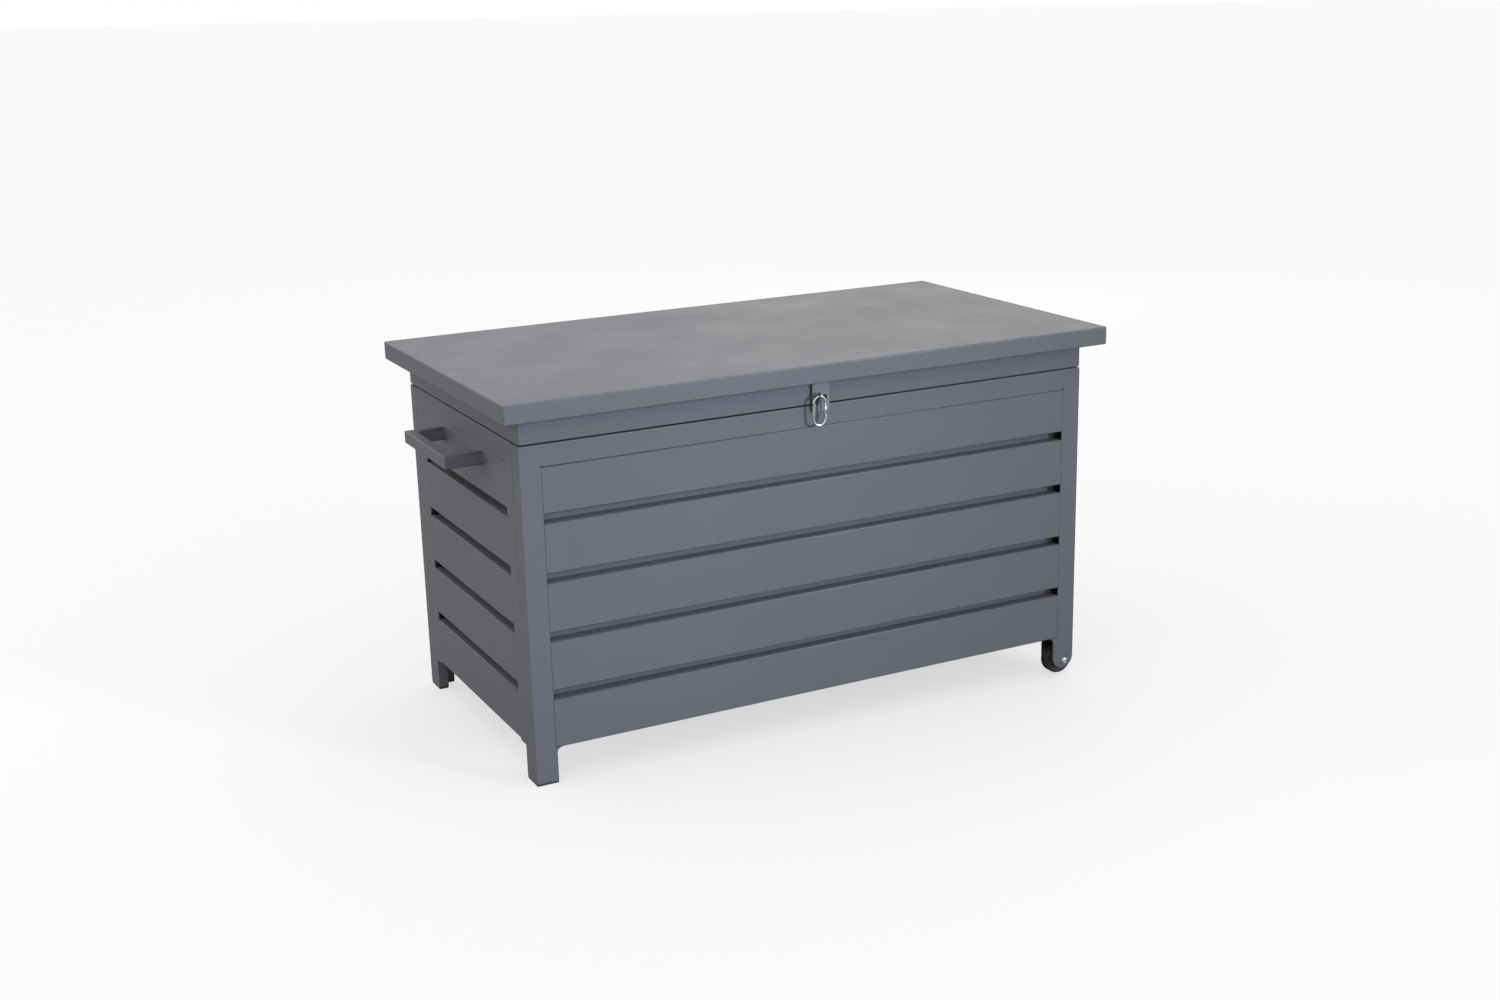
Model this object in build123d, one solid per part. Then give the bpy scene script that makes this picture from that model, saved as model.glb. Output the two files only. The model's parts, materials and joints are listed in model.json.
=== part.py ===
from build123d import *
import math
import os

# Deck storage box in sheet aluminium: +X to the wheel end, -Y to the front, +Z up.
# Driving dimensions in millimetres. Heights count from the underside of the foot caps;
# the finished model is lifted at the end so that its lowest point is z = 0.
body_length = 1200
body_width = 606
body_height = 640
sheet = 3
thin_sheet = 1.5
rail_height = 40
front_stile = 40
end_stile = 37
post_depth = 38
post_thickness = 20
flange_depth = 17

# Slats
slat_bottom = 69.2
slat_pitch = 110.8
slat_face = 93.8
slat_depth = 25
slat_wall = 2
slat_count = 5
slat_gap = 2
slat_top_gap = 0.8
edge_round = 1.8
relief_radius = 1.6
fit_gap = 0.4

# Corner posts, lining and floor
post_wall = 2
post_rebate = 5
plug_top = 18
floor_top = 92
floor_sheet = 2
bearer_places = (-400, 0, 400)
bearer_half_width = 12.5
bearer_wall = 2
trim_lap = 1.5

# Legs and wheels
foot_leg_width = 42.4
foot_leg_depth = 48.5
wheel_leg_width = 49
leg_tip = 1.5
leg_fillet = 10.5
cap_height = 5
end_stile_bottom = 66
wheel_radius = 32.5
wheel_width = 22
wheel_shoulder = 4
hub_radius = 18
axle_x = 578.7
axle_height = 16.1
axle_radius = 4
running_clearance = 0.05
wheel_face_y = -286.5
bolt_head_radius = 7.1
bolt_head_height = 4.2
bolt_head_round = 3.2
socket_radius = 2.9
socket_depth = 2.4
nut_radius = 7.5
nut_height = 7
spacer_radius = 7.5
bracket_front = wheel_face_y + wheel_width + 0.8
bracket_back = bracket_front + sheet

# Lid
lid_overhang = 37
lid_top = 726
tray_bottom = 689.5
skirt_bottom = 643
lid_wall = 2
skirt_flange = 18
lid_edge_round = 2.5
stiffener_half_width = 10
stiffener_wall = 2
bumper_x = 540
bumper_half = 6
bumper_inset = 12

# Rear hinges and gas struts
hinge_y = 307.7
hinge_z = 641.5
hinge_places = (-430, 0, 430)
knuckle_radius = 4.5
hinge_pin_radius = 2.45
leaf_length = 70
leaf_sheet = 2
knuckle_half = 12
knuckle_gap = 0.2
body_leaf_span = (606, 636)
lid_leaf_span = (648, 684)
strut_x = 560
strut_foot = (215, 473.6)
strut_head = (229.7, 653)
strut_cylinder_radius = 7.5
strut_rod_radius = 4
strut_pin_radius = 4
strut_stroke = 80
eyelet_radius = 8
eyelet_width = 6
bracket_sheet = 3
bracket_round = 6
stud_gap = 1.5

# Carrying handles
handle_reach = 75
handle_half_span = 118
handle_tube = 20
handle_low = 568.5
handle_high = 592.5
handle_wall = 2
handle_round = 1.5

# Hasp and carabiner
strap_half_width = 18.3
strap_front = -308.7
strap_sheet = 2.5
strap_bottom = 628.5
slot_low = 651.5
slot_high = 659.5
eye_x = -8.5
eye_y = -317.5
eye_z = 661
eye_hole = 3.8
eye_outer = 6.3
staple_sheet = 2
wire_radius = 2.3
gate_radius = 2
loop_half_width = 12.7
loop_straight = 30

half_length = body_length / 2
half_width = body_width / 2
lift = wheel_radius - axle_height
parts = {}


def block(x0, x1, y0, y1, z0, z1):
    """A box given by its lowest and highest corners."""
    centre = Pos((x0 + x1) / 2, (y0 + y1) / 2, (z0 + z1) / 2)
    return centre * Box(abs(x1 - x0), abs(y1 - y0), abs(z1 - z0))


def flat(x0, x1, z0, z1):
    """A rectangle on the drawing plane of a wall."""
    return Pos((x0 + x1) / 2, (z0 + z1) / 2) * Rectangle(x1 - x0, z1 - z0)


def rod_along_x(x0, x1, y, z, radius):
    return Pos((x0 + x1) / 2, y, z) * Rot(0, 90, 0) * Cylinder(radius, abs(x1 - x0))


def rod_along_y(x, y0, y1, z, radius):
    return Pos(x, (y0 + y1) / 2, z) * Rot(90, 0, 0) * Cylinder(radius, abs(y1 - y0))


def wall_plate(outline, setback, thickness):
    """Pushes an outline drawn in X and Z inwards from the wall's outer face."""
    plane = Plane(origin=(0, -setback, 0), x_dir=(1, 0, 0), z_dir=(0, -1, 0))
    return extrude(plane * outline, amount=-thickness)


def to_back(shape):
    return mirror(shape, about=Plane.XZ)


def to_left(shape):
    return Rot(0, 0, -90) * shape


def to_right(shape):
    return Rot(0, 0, 90) * shape


def group(shapes):
    """Separate solids that share one node."""
    solids = []
    for shape in shapes:
        solids.extend(shape.solids())
    return Compound(children=solids)


def edges_at(shape, axis, **places):
    """Straight edges along one axis whose centre lies at the given coordinates."""
    found = []
    for edge in shape.edges().filter_by(axis):
        centre = edge.center()
        if all(abs(getattr(centre, name) - value) < 0.01 for name, value in places.items()):
            found.append(edge)
    return found


def wheel_leg(low_edge, high_edge):
    """The outline of the plates on both sides of a wheel, with a half-round tip."""
    tip_radius = wheel_leg_width / 2
    outline = flat(half_length - wheel_leg_width, half_length, low_edge + tip_radius, high_edge)
    return outline + Pos(half_length - tip_radius, low_edge + tip_radius) * Circle(tip_radius)


# Front and back frames: one folded sheet makes the top rail, the stiles and the leg faces.
def long_frame():
    window = half_length - front_stile
    window_top = body_height - rail_height
    outline = flat(-half_length, half_length, slat_bottom, body_height)
    outline -= flat(-window, window, slat_bottom, window_top)
    foot_edge = -half_length + foot_leg_width
    outline += flat(-half_length, foot_edge, cap_height, slat_bottom)
    outline += wheel_leg(leg_tip, slat_bottom)
    wheel_edge = half_length - wheel_leg_width
    for edge, side in ((foot_edge, 1), (wheel_edge, -1)):
        near = min(edge, edge + side * leg_fillet)
        web = flat(near, near + leg_fillet, slat_bottom - leg_fillet, slat_bottom)
        web -= Pos(edge + side * leg_fillet, slat_bottom - leg_fillet) * Circle(leg_fillet)
        outline += web
    for x in (-window, window):
        for z in (window_top, slat_bottom + relief_radius):
            outline -= Pos(x, z) * Circle(relief_radius)
    plate = wall_plate(outline, half_width, sheet)
    inside = half_length - post_thickness - fit_gap
    front = -half_width + sheet
    plate += block(-inside, inside, front, front + flange_depth, body_height - sheet, body_height)
    return fillet(edges_at(plate, Axis.X, Y=-half_width, Z=body_height), edge_round)


def end_frame():
    outer = half_width - post_depth - fit_gap
    window = half_width - post_depth - end_stile
    window_top = body_height - rail_height
    outline = flat(-outer, outer, end_stile_bottom, body_height)
    outline -= flat(-window, window, end_stile_bottom, window_top)
    corners = outline.vertices().filter_by(lambda v: abs(v.Y - end_stile_bottom) < 0.01)
    outline = fillet(corners.filter_by(lambda v: abs(v.X) < outer - 1), edge_round * 2)
    for x in (-window, window):
        outline -= Pos(x, window_top) * Circle(relief_radius)
    plate = wall_plate(outline, half_length, sheet)
    inside = half_width - foot_leg_depth - fit_gap
    front = -half_length + sheet
    plate += block(-inside, inside, front, front + flange_depth, body_height - sheet, body_height)
    return fillet(edges_at(plate, Axis.X, Y=-half_length, Z=body_height), edge_round)


def slat(half_span, low, high, setback):
    """A channel with rounded outer edges, open towards the inside of the box."""
    section = Rectangle(slat_depth, high - low)
    outer_corners = section.vertices().sort_by(Axis.X)[:2]
    section = fillet(outer_corners, edge_round)
    section -= Pos(slat_wall, 0) * Rectangle(slat_depth, high - low - 2 * slat_wall)
    centre = Pos(-setback + slat_depth / 2, (low + high) / 2)
    return extrude(Plane.YZ * (centre * section), amount=half_span, both=True)


parts["front_frame"] = long_frame()
parts["back_frame"] = to_back(parts["front_frame"])
parts["left_frame"] = to_left(end_frame())
parts["right_frame"] = to_right(end_frame())

long_span = half_length - front_stile - slat_gap
short_span = half_width - post_depth - end_stile - slat_gap
for number in range(slat_count):
    low = slat_bottom + number * slat_pitch
    high = min(low + slat_face, body_height - rail_height - slat_top_gap)
    front_slat = slat(long_span, low, high, half_width)
    end_slat = slat(short_span, low, high, half_length)
    parts[f"front_slat_{number + 1}"] = front_slat
    parts[f"back_slat_{number + 1}"] = to_back(front_slat)
    parts[f"left_slat_{number + 1}"] = to_left(end_slat)
    parts[f"right_slat_{number + 1}"] = to_right(end_slat)


# Corner posts: tubes behind the front and back sheets, rebated for the end frames.
def corner_post(has_foot):
    """The front left post; the others are mirrored from it."""
    outer = -half_length
    inner = outer + post_thickness
    front = -half_width + sheet
    back = -half_width + foot_leg_depth
    wall = post_wall
    bottom = cap_height if has_foot else end_stile_bottom
    post = block(outer, inner, front, back, bottom, body_height)
    hollow = block(outer + post_rebate, inner - wall, front + wall, back - wall, bottom, body_height - wall)
    if has_foot:
        arm_end = outer + foot_leg_width
        arm_back = -half_width + post_thickness
        arm_top = end_stile_bottom - 6
        post += block(inner, arm_end, front, arm_back, bottom, arm_top)
        hollow += block(inner - wall, arm_end - wall, front + wall, arm_back - wall, bottom, arm_top - wall)
    post -= hollow
    seam = -half_width + post_depth
    return post - block(outer, outer + sheet, seam, back, end_stile_bottom, body_height)


def foot_cap():
    """An L-shaped plastic cap with a plug that grips inside the leg tube."""
    outer = -half_length
    inner = outer + post_thickness
    front = -half_width
    cap = block(outer, inner, front, front + foot_leg_depth, 0, cap_height)
    cap += block(outer, outer + foot_leg_width, front, front + post_thickness, 0, cap_height)
    cap = fillet(cap.faces().sort_by(Axis.Z)[0].edges(), 1.2)
    grip = post_wall + 0.3
    back = front + foot_leg_depth - grip
    plug = block(outer + post_rebate + 0.3, inner - grip, front + sheet + grip, back, cap_height, plug_top)
    return cap + plug


foot_post = corner_post(True)
wheel_post = mirror(corner_post(False), about=Plane.YZ)
parts["front_left_post"] = foot_post
parts["back_left_post"] = to_back(foot_post)
parts["front_right_post"] = wheel_post
parts["back_right_post"] = to_back(wheel_post)
parts["foot_caps"] = group([foot_cap(), to_back(foot_cap())])


# Inner lining, floor and corner trims
def liner(half_span, setback):
    face = -setback + slat_depth
    top = body_height - rail_height
    return block(-half_span, half_span, face, face + thin_sheet, slat_bottom, top)


def corner_trim():
    """An angle that closes the inside corner, at the front left."""
    outer_x = -half_length + slat_depth + thin_sheet
    outer_y = -half_width + slat_depth + thin_sheet
    low = floor_top
    high = body_height - rail_height
    long_leg = half_width - post_depth - end_stile + trim_lap
    angle = block(outer_x, -half_length + front_stile + 4, outer_y, outer_y + thin_sheet, low, high)
    return angle + block(outer_x, outer_x + thin_sheet, outer_y, -long_leg, low, high)


floor_x = half_length - slat_depth - thin_sheet - 2
floor_y = half_width - slat_depth - thin_sheet - 2
front_liner = liner(half_length - front_stile, half_width)
end_liner = liner(half_width - post_depth - end_stile, half_length)
liners = [front_liner, to_back(front_liner), to_left(end_liner), to_right(end_liner)]
parts["liner_panels"] = group(liners)
left_trims = [corner_trim(), to_back(corner_trim())]
parts["corner_trims"] = group(left_trims + [mirror(trim, about=Plane.YZ) for trim in left_trims])
parts["floor_panel"] = block(-floor_x, floor_x, -floor_y, floor_y, floor_top - floor_sheet, floor_top)


def floor_bearer(x):
    low = slat_bottom + slat_top_gap
    high = floor_top - floor_sheet
    half = bearer_half_width
    bore = half - bearer_wall
    tube = block(x - half, x + half, -floor_y, floor_y, low, high)
    return tube - block(x - bore, x + bore, -floor_y, floor_y, low + bearer_wall, high - bearer_wall)


parts["floor_bearers"] = group([floor_bearer(x) for x in bearer_places])


# Lid: a folded tray over a skirt that continues the walls
def lid_tray():
    x = half_length + lid_overhang
    y = half_width + lid_overhang
    tray = block(-x, x, -y, y, tray_bottom, lid_top)
    tray = fillet(tray.edges(), lid_edge_round)
    low = tray_bottom + lid_wall
    high = lid_top - lid_wall
    tray -= block(lid_wall - x, x - lid_wall, lid_wall - y, y - lid_wall, low, high)
    mouth_x = half_length - sheet
    mouth_y = half_width - sheet
    return tray - block(-mouth_x, mouth_x, -mouth_y, mouth_y, tray_bottom, low)


def lid_skirt():
    skirt = block(-half_length, half_length, -half_width, half_width, skirt_bottom, tray_bottom)
    skirt = fillet(edges_at(skirt, Axis.Z), lid_edge_round)
    x = half_length - lid_wall
    y = half_width - lid_wall
    skirt -= block(-x, x, -y, y, skirt_bottom + lid_wall, tray_bottom)
    x = half_length - skirt_flange
    y = half_width - skirt_flange
    return skirt - block(-x, x, -y, y, skirt_bottom, skirt_bottom + lid_wall)


def lid_stiffener(x):
    half_span = half_width - 2 * fit_gap - sheet - lid_wall
    low = tray_bottom + lid_wall
    high = lid_top - lid_wall
    half = stiffener_half_width
    wall = stiffener_wall
    bore = half - wall
    tube = block(x - half, x + half, -half_span, half_span, low, high)
    return tube - block(x - bore, x + bore, -half_span, half_span, low + wall, high - wall)


panel_x = half_length - sheet - fit_gap
panel_y = half_width - sheet - fit_gap
parts["lid_tray"] = lid_tray()
parts["lid_skirt"] = lid_skirt()
parts["lid_inner_panel"] = block(-panel_x, panel_x, -panel_y, panel_y, tray_bottom, tray_bottom + lid_wall)
parts["lid_stiffeners"] = group([lid_stiffener(x) for x in bearer_places])


def rim_bumper(x, y):
    half = bumper_half
    pad = block(x - half, x + half, y - half, y + half, body_height, skirt_bottom - 0.2)
    return fillet(pad.faces().sort_by(Axis.Z)[-1].edges(), 1)


bumper_y = half_width - bumper_inset
bumper_places = [(x, y) for x in (-bumper_x, bumper_x) for y in (-bumper_y, bumper_y)]
parts["rim_bumpers"] = group([rim_bumper(x, y) for x, y in bumper_places])


# Rear hinges
def knuckle(x0, x1):
    return rod_along_x(x0, x1, hinge_y, hinge_z, knuckle_radius)


def hinge_bore(x):
    radius = hinge_pin_radius + running_clearance
    return rod_along_x(x - leaf_length, x + leaf_length, hinge_y, hinge_z, radius)


def body_leaf(x):
    half = leaf_length / 2
    inner = knuckle_half + knuckle_gap
    low, high = body_leaf_span
    leaf = block(x - half, x + half, half_width, half_width + leaf_sheet, low, high)
    for x0, x1 in ((x - half, x - inner), (x + inner, x + half)):
        leaf += block(x0, x1, half_width, half_width + leaf_sheet, high, hinge_z) + knuckle(x0, x1)
    return leaf - hinge_bore(x)


def lid_leaf(x):
    half = leaf_length / 2
    inner = knuckle_half - knuckle_gap
    low, high = lid_leaf_span
    leaf = block(x - half, x + half, half_width, half_width + leaf_sheet, low, high)
    leaf += block(x - inner, x + inner, half_width, half_width + leaf_sheet, skirt_bottom, low)
    leaf += block(x - inner, x + inner, half_width + 0.5, half_width + leaf_sheet, hinge_z, skirt_bottom)
    return leaf + knuckle(x - inner, x + inner) - hinge_bore(x)


def hinge_pin(x):
    half = leaf_length / 2
    pin = rod_along_x(x - half - 1, x + half + 1, hinge_y, hinge_z, hinge_pin_radius)
    for side in (-1, 1):
        near, far = x + side * (half + 0.3), x + side * (half + 1.8)
        pin += rod_along_x(near, far, hinge_y, hinge_z, knuckle_radius - 0.8)
    return pin


parts["hinge_body_leaves"] = group([body_leaf(x) for x in hinge_places])
parts["hinge_lid_leaves"] = group([lid_leaf(x) for x in hinge_places])
parts["hinge_pins"] = group([hinge_pin(x) for x in hinge_places])


# Gas struts, drawn on the left and mirrored to the right
foot_y, foot_z = strut_foot
head_y, head_z = strut_head
strut_length = math.hypot(head_y - foot_y, head_z - foot_z)
strut_lean = math.degrees(math.atan2(head_y - foot_y, head_z - foot_z))
along_strut = Pos(-strut_x, foot_y, foot_z) * Rot(-strut_lean, 0, 0)


def eyelet(distance):
    bore = Rot(0, 90, 0) * Cylinder(strut_pin_radius + running_clearance, eyelet_width)
    return Pos(0, 0, distance) * (Rot(0, 90, 0) * Cylinder(eyelet_radius, eyelet_width) - bore)


def strut_cylinder():
    low = eyelet_radius + 3
    high = strut_length - strut_stroke + low
    tube = Pos(0, 0, (low + high) / 2) * Cylinder(strut_cylinder_radius, high - low)
    tube = fillet(tube.edges().filter_by(GeomType.CIRCLE), 1.5)
    neck = Pos(0, 0, low - 2) * Cylinder(3.5, 6)
    neck -= Rot(0, 90, 0) * Cylinder(strut_pin_radius + running_clearance, eyelet_width)
    bore = Pos(0, 0, high - 45) * Cylinder(strut_rod_radius + running_clearance, 90)
    return along_strut * (tube + neck + eyelet(0) - bore)


def strut_rod():
    low = strut_length - strut_stroke + eyelet_radius - 74
    high = strut_length - eyelet_radius + 2
    rod = Pos(0, 0, (low + high) / 2) * Cylinder(strut_rod_radius, high - low)
    pin_bore = Rot(0, 90, 0) * Cylinder(strut_pin_radius + running_clearance, eyelet_width * 2)
    rod -= Pos(0, 0, strut_length) * pin_bore
    return along_strut * (rod + eyelet(strut_length))


def strut_foot_bracket():
    wall = -half_length + slat_depth + thin_sheet
    face = wall + bracket_sheet
    eyelet_side = -strut_x - eyelet_width / 2
    plate = block(wall, face, foot_y - 14, foot_y + 14, foot_z - 26, foot_z + 14)
    plate = fillet(edges_at(plate, Axis.X), bracket_round)
    pin = rod_along_x(face, -strut_x + eyelet_width / 2 + 3, foot_y, foot_z, strut_pin_radius)
    collar = rod_along_x(face, eyelet_side - 0.5, foot_y, foot_z, strut_pin_radius + 2.5)
    return plate + pin + collar


def strut_head_bracket():
    wall = -half_length + lid_wall
    face = wall + bracket_sheet
    eyelet_side = -strut_x - eyelet_width / 2
    plate = block(wall, face, head_y - 15, head_y + 15, skirt_bottom + 3, skirt_bottom + 32)
    plate = fillet(edges_at(plate, Axis.X), bracket_round)
    stud = rod_along_x(face, eyelet_side - stud_gap, head_y, head_z, strut_pin_radius)
    return plate + stud


for side in ("left", "right"):
    cylinder, rod = strut_cylinder(), strut_rod()
    if side == "right":
        cylinder = mirror(cylinder, about=Plane.YZ)
        rod = mirror(rod, about=Plane.YZ)
    parts[f"{side}_strut_cylinder"] = cylinder
    parts[f"{side}_strut_rod"] = rod
foot_bracket, head_bracket = strut_foot_bracket(), strut_head_bracket()
parts["strut_foot_brackets"] = group([foot_bracket, mirror(foot_bracket, about=Plane.YZ)])
parts["strut_head_brackets"] = group([head_bracket, mirror(head_bracket, about=Plane.YZ)])


# Carrying handles: square tube bent into a U and welded to the top end slats
def handle():
    def bend(inset):
        reach = handle_reach - inset
        span = handle_half_span - inset
        inner_reach = handle_reach - handle_tube + inset
        inner_span = handle_half_span - handle_tube + inset
        low, high = handle_low + inset, handle_high - inset
        bar = block(-half_length - reach, -half_length, -span, span, low, high)
        return bar - block(-half_length - inner_reach, -half_length, -inner_span, inner_span, low, high)

    outer = bend(0)
    outer = fillet([edge for edge in outer.edges() if edge.center().X < -half_length - 1], handle_round)
    return outer - bend(handle_wall)


parts["left_handle"] = handle()
parts["right_handle"] = mirror(parts["left_handle"], about=Plane.YZ)


# Hasp: a slotted strap on the lid passes over a fixed eye on the body.
def hasp_strap():
    back = strap_front + strap_sheet
    strap = block(-strap_half_width, strap_half_width, strap_front, back, strap_bottom, tray_bottom)
    corners = [edges_at(strap, Axis.Y, X=x, Z=strap_bottom)[0] for x in (-strap_half_width, strap_half_width)]
    strap = fillet(corners, 1.5)
    strap += block(-strap_half_width, strap_half_width, strap_front - 20, back, tray_bottom - 2, tray_bottom)
    strap -= block(-13.5, 12.5, strap_front, back, slot_low, slot_high)
    return strap - block(eye_x - 1.5, eye_x + 1.5, strap_front, back, strap_bottom, slot_low)


def hasp_staple():
    wall = -half_width
    base = block(-17, 13, wall - 2.2, wall, 629.8, 639.3)
    outline = make_face(Polyline(
        (wall, 630.5), (wall, 639), (wall - 1, 641), (wall - 1, 657.8),
        (wall - 9.5, 657.8), (eye_y, eye_z), (eye_y - 5, eye_z - 4), close=True))
    outline += Pos(eye_y, eye_z) * Circle(eye_outer)
    outline -= Pos(eye_y, eye_z) * Circle(eye_hole)
    fin = extrude(Plane.YZ * outline, amount=staple_sheet / 2, both=True)
    return base + Pos(eye_x, 0, 0) * fin


wire_top = eye_z - eye_hole + wire_radius + 0.25
top_centre = wire_top - loop_half_width
low_centre = top_centre - loop_straight
gate_pivot_z = low_centre + 5
gate_bottom = gate_pivot_z - 2.4
gate_top = top_centre - 0.6


def carabiner_hook():
    left, right = eye_x - loop_half_width, eye_x + loop_half_width
    start = Vector(right, eye_y, top_centre)
    path = Wire([
        Edge.make_three_point_arc(start, Vector(eye_x, eye_y, wire_top), Vector(left, eye_y, top_centre)),
        Edge.make_line(Vector(left, eye_y, top_centre), Vector(left, eye_y, low_centre)),
        Edge.make_three_point_arc(
            Vector(left, eye_y, low_centre),
            Vector(eye_x, eye_y, low_centre - loop_half_width),
            Vector(right, eye_y, low_centre)),
        Edge.make_line(Vector(right, eye_y, low_centre), Vector(right, eye_y, gate_bottom - 0.9)),
    ])
    hook = sweep(Plane(origin=start, z_dir=(0, 0, 1)) * Circle(wire_radius), path=path)
    lugs = []
    for side in (-1, 1):
        centre_y = eye_y + side * 2.55
        lug = block(right - 2, right + 2, centre_y - 0.4, centre_y + 0.4, low_centre - 1, gate_pivot_z)
        lugs.append(lug + rod_along_y(right, centre_y - 0.4, centre_y + 0.4, gate_pivot_z, 2))
    hook = hook + lugs[0] + lugs[1]
    return hook + rod_along_y(right, eye_y - 2.6, eye_y + 2.6, gate_pivot_z, 0.7)


def carabiner_gate():
    right = eye_x + loop_half_width
    rod = Pos(right, eye_y, (gate_bottom + gate_top) / 2) * Cylinder(gate_radius, gate_top - gate_bottom)
    rod = fillet(rod.edges().filter_by(GeomType.CIRCLE), 0.6)
    return rod - rod_along_y(right, eye_y - 4, eye_y + 4, gate_pivot_z, 0.7 + running_clearance)


parts["hasp_strap"] = hasp_strap()
parts["hasp_staple"] = hasp_staple()
parts["carabiner_hook"] = carabiner_hook()
parts["carabiner_gate"] = carabiner_gate()


# Wheels at the right end, behind the leg faces
wheel_centre_y = wheel_face_y + wheel_width / 2


def about_axle(profile):
    """Turns a profile drawn as radius and width about the front axle."""
    turned = revolve(Plane.XZ * profile, axis=Axis.Z)
    return Pos(axle_x, wheel_centre_y, axle_height) * Rot(90, 0, 0) * turned


def tyre():
    half = wheel_width / 2
    profile = Pos((wheel_radius + hub_radius) / 2, 0) * Rectangle(wheel_radius - hub_radius, wheel_width)
    tread = profile.vertices().filter_by(lambda v: v.X > wheel_radius - 1)
    profile = fillet(tread, wheel_shoulder)
    for side in (-1, 1):
        profile -= Pos(wheel_radius - 4.6, side * (half + 0.2)) * Circle(0.9)
    return about_axle(profile)


def hub():
    bore = axle_radius + running_clearance
    web = Pos((bore + hub_radius) / 2, 0) * Rectangle(hub_radius - bore, 8)
    rim = Pos(hub_radius - 1.5, 0) * Rectangle(3, wheel_width - 2)
    boss = Pos((bore + 8) / 2, 0) * Rectangle(8 - bore, wheel_width)
    return about_axle(web + rim + boss)


def wheel_bolt():
    face = -half_width
    end_y = bracket_back + 8.5
    shank = rod_along_y(axle_x, face, end_y, axle_height, axle_radius)
    head_plane = Plane(origin=(axle_x, face, axle_height), x_dir=(1, 0, 0), z_dir=(0, -1, 0))
    head = extrude(head_plane * Circle(bolt_head_radius), amount=bolt_head_height)
    head = fillet(head.edges().sort_by(Axis.Y)[0], bolt_head_round)
    socket_floor = head_plane.offset(bolt_head_height - socket_depth)
    socket = extrude(socket_floor * RegularPolygon(socket_radius, 6), amount=bolt_head_height)
    return shank + head - socket


def wheel_nut():
    plane = Plane(origin=(axle_x, bracket_back, axle_height), x_dir=(1, 0, 0), z_dir=(0, 1, 0))
    nut = extrude(plane * RegularPolygon(nut_radius, 6), amount=nut_height)
    return nut - rod_along_y(axle_x, bracket_back - 1, bracket_back + 9, axle_height, axle_radius)


def wheel_spacer():
    tube = rod_along_y(axle_x, -half_width + sheet, wheel_face_y - 0.4, axle_height, spacer_radius)
    return tube - rod_along_y(axle_x, -half_width, wheel_face_y, axle_height, axle_radius)


def wheel_bracket():
    """The inner cheek that carries the far end of the axle, hung from the post."""
    high = end_stile_bottom
    cheek = wall_plate(wheel_leg(leg_tip, high), -bracket_front, sheet)
    web_start = half_length - post_thickness
    cheek += block(web_start, half_length, -half_width + sheet, bracket_front, high - bracket_sheet, high)
    return cheek - rod_along_y(axle_x, -half_width, 0, axle_height, axle_radius)


parts["front_tyre"] = tyre()
parts["back_tyre"] = to_back(tyre())
parts["front_hub"] = hub()
parts["back_hub"] = to_back(hub())
fixings = [wheel_bolt(), wheel_nut()]
parts["wheel_bolts_and_nuts"] = group(fixings + [to_back(fixing) for fixing in fixings])
parts["wheel_spacers"] = group([wheel_spacer(), to_back(wheel_spacer())])
parts["wheel_brackets"] = group([wheel_bracket(), to_back(wheel_bracket())])

# The leg faces get holes for the axle bolts.
for name, hole in (("front_frame", -1), ("back_frame", 1)):
    near, far = hole * (half_width - sheet - 1), hole * (half_width + 1)
    parts[name] -= rod_along_y(axle_x, near, far, axle_height, axle_radius)

os.makedirs("parts", exist_ok=True)
for name, shape in parts.items():
    export_step(Pos(0, 0, lift) * shape, f"parts/{name}.step")
print(len(parts), "nodes")
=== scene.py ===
import json
import math

import bmesh
import bpy
from mathutils import Matrix, Vector


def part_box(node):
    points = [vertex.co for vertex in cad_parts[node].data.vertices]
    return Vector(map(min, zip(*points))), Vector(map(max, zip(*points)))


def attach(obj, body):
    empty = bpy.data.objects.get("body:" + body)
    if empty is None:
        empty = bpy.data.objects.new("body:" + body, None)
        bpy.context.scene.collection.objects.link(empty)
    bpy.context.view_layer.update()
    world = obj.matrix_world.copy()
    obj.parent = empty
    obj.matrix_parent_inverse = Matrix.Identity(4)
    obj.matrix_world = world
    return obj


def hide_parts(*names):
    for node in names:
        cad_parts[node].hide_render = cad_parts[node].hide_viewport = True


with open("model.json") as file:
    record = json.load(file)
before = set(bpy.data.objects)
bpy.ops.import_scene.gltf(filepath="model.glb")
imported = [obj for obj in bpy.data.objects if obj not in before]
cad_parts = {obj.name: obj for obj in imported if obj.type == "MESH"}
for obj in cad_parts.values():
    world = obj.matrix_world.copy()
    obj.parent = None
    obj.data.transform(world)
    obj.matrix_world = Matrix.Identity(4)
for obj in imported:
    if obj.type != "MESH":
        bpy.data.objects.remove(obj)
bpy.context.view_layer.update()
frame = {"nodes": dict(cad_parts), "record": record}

print("frame loaded,", len(frame["nodes"]), "nodes")

upward = Vector((0, 0, 1))
joints = {joint["name"]: joint for joint in frame["record"]["behaviour"]["joints"]}


# Camera, floor and lights

view = {"place": (-1.6892, -3.3084, 1.4615), "yaw": 27.103, "pitch": 15.996, "roll": -1.3585,
        "lens": 45.32, "sensor": 36.0}


def makeCamera():
    data = bpy.data.cameras.new("viewCamera")
    data.lens = view["lens"]
    data.sensor_width = view["sensor"]
    data.clip_end = 100
    camera = bpy.data.objects.new("viewCamera", data)
    bpy.context.scene.collection.objects.link(camera)
    turn = Matrix.Rotation(math.radians(-view["yaw"]), 4, "Z")
    turn = turn @ Matrix.Rotation(math.radians(90 - view["pitch"]), 4, "X")
    turn = turn @ Matrix.Rotation(math.radians(view["roll"]), 4, "Z")
    camera.matrix_world = Matrix.Translation(view["place"]) @ turn
    bpy.context.scene.camera = camera


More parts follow.
